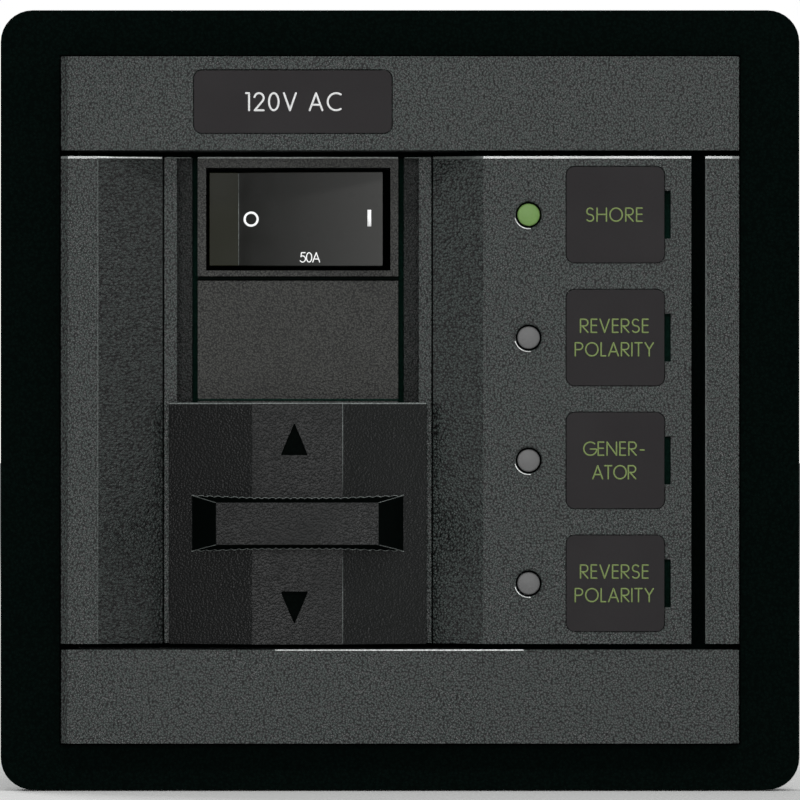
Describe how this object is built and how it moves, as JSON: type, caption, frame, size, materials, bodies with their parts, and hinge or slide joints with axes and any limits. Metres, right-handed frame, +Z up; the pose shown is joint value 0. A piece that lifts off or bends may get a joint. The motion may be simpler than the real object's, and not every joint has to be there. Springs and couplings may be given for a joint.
{
  "type": "AC source selector breaker panel",
  "caption": "Flush-mounted AC source selector panel with rocker circuit breakers, a sliding lockout plate and indicator lamps.",
  "frame": {"origin": "centre of the panel, on the plane of the bulkhead's front surface", "axes": "+X to the right seen from the front, +Z up the panel, +Y back through the bulkhead; the face looks along -Y"},
  "size_m": [0.125, 0.07, 0.122],
  "materials": {
    "bezel_plastic": "near-black satin moulding",
    "textured_plastic": "charcoal, fine spark-eroded grain",
    "slide_plastic": "dark charcoal, fine satin grain",
    "breaker_plastic": "charcoal thermoset, finely textured",
    "rocker_plastic": "smooth semi-gloss black",
    "insert_plastic": "smooth satin, dark, with printed legends",
    "green_lens": "lit green diffusing lens",
    "grey_lens": "unlit grey diffusing lens",
    "lamp_chip": "surface-mount lamp body",
    "circuit_board": "green solder mask",
    "screw_steel": "stainless steel",
    "copper": "bare copper",
    "brass": "plain brass",
    "coil_enamel": "enamelled copper winding",
    "fibre_board": "dark insulating fibre"
  },
  "bodies": {
    "panel": {"mounting_bezel": "bezel_plastic", "top_rail_cover": "textured_plastic", "bottom_rail_cover": "textured_plastic", "title_plate": "insert_plastic", "left_side_trim": "textured_plastic", "right_side_trim": "textured_plastic", "mounting_screw_1": "screw_steel", "mounting_screw_2": "screw_steel", "mounting_screw_3": "screw_steel", "mounting_screw_4": "screw_steel", "breaker_carrier": "textured_plastic", "breaker_screw_1": "screw_steel", "breaker_screw_2": "screw_steel", "breaker_screw_3": "screw_steel", "breaker_screw_4": "screw_steel", "upper_pole_a_case": "breaker_plastic", "upper_pole_divider": "fibre_board", "upper_pole_b_case": "breaker_plastic", "upper_line_terminal_a": "brass", "upper_load_terminal_a": "brass", "upper_trip_coil_a": "coil_enamel", "upper_line_terminal_b": "brass", "upper_load_terminal_b": "brass", "upper_trip_coil_b": "coil_enamel", "lower_pole_a_case": "breaker_plastic", "lower_pole_divider": "fibre_board", "lower_pole_b_case": "breaker_plastic", "lower_line_terminal_a": "brass", "lower_load_terminal_a": "brass", "lower_trip_coil_a": "coil_enamel", "lower_line_terminal_b": "brass", "lower_load_terminal_b": "brass", "lower_trip_coil_b": "coil_enamel", "indicator_housing": "textured_plastic", "indicator_back_cover": "bezel_plastic", "indicator_circuit_board": "circuit_board", "indicator_lens_1": "green_lens", "indicator_lamp_1": "lamp_chip", "legend_plate_1": "insert_plastic", "indicator_lens_2": "grey_lens", "indicator_lamp_2": "lamp_chip", "legend_plate_2": "insert_plastic", "indicator_lens_3": "grey_lens", "indicator_lamp_3": "lamp_chip", "legend_plate_3": "insert_plastic", "indicator_lens_4": "grey_lens", "indicator_lamp_4": "lamp_chip", "legend_plate_4": "insert_plastic", "indicator_screw_1": "screw_steel", "indicator_screw_2": "screw_steel"},
    "lockout": {"lockout_slide": "slide_plastic"},
    "upper_rocker_body": {"upper_rocker": "rocker_plastic"},
    "upper_contacts": {"upper_crossbar": "fibre_board", "upper_contact_arm_a": "copper", "upper_contact_arm_b": "copper"},
    "lower_rocker_body": {"lower_rocker": "rocker_plastic"},
    "lower_contacts": {"lower_crossbar": "fibre_board", "lower_contact_arm_a": "copper", "lower_contact_arm_b": "copper"}
  },
  "joints": [
    {"name": "lockout_travel", "type": "slide", "parent": "panel", "child": "lockout", "axis": [0, 0, 1], "range_m": [0, 0.0381]},
    {"name": "upper_rocker_tilt", "type": "hinge", "parent": "panel", "child": "upper_rocker_body", "pos_m": [-0.0162, -0.002, 0.0283], "axis": [0, 0, 1], "range_deg": [0, 8]},
    {"name": "upper_contact_swing", "type": "hinge", "parent": "panel", "child": "upper_contacts", "pos_m": [-0.016, 0.012, 0.01905], "axis": [0, 0, 1], "range_deg": [0, 15]},
    {"name": "lower_rocker_tilt", "type": "hinge", "parent": "panel", "child": "lower_rocker_body", "pos_m": [-0.0162, -0.002, -0.0098], "axis": [0, 0, 1], "range_deg": [0, 8]},
    {"name": "lower_contact_swing", "type": "hinge", "parent": "panel", "child": "lower_contacts", "pos_m": [-0.016, 0.012, -0.01905], "axis": [0, 0, 1], "range_deg": [0, 15]}
  ],
  "couplings": [
    {"joint": "upper_contact_swing", "follows": "upper_rocker_tilt", "ratio": 1.875},
    {"joint": "lower_contact_swing", "follows": "lower_rocker_tilt", "ratio": 1.875}
  ]
}
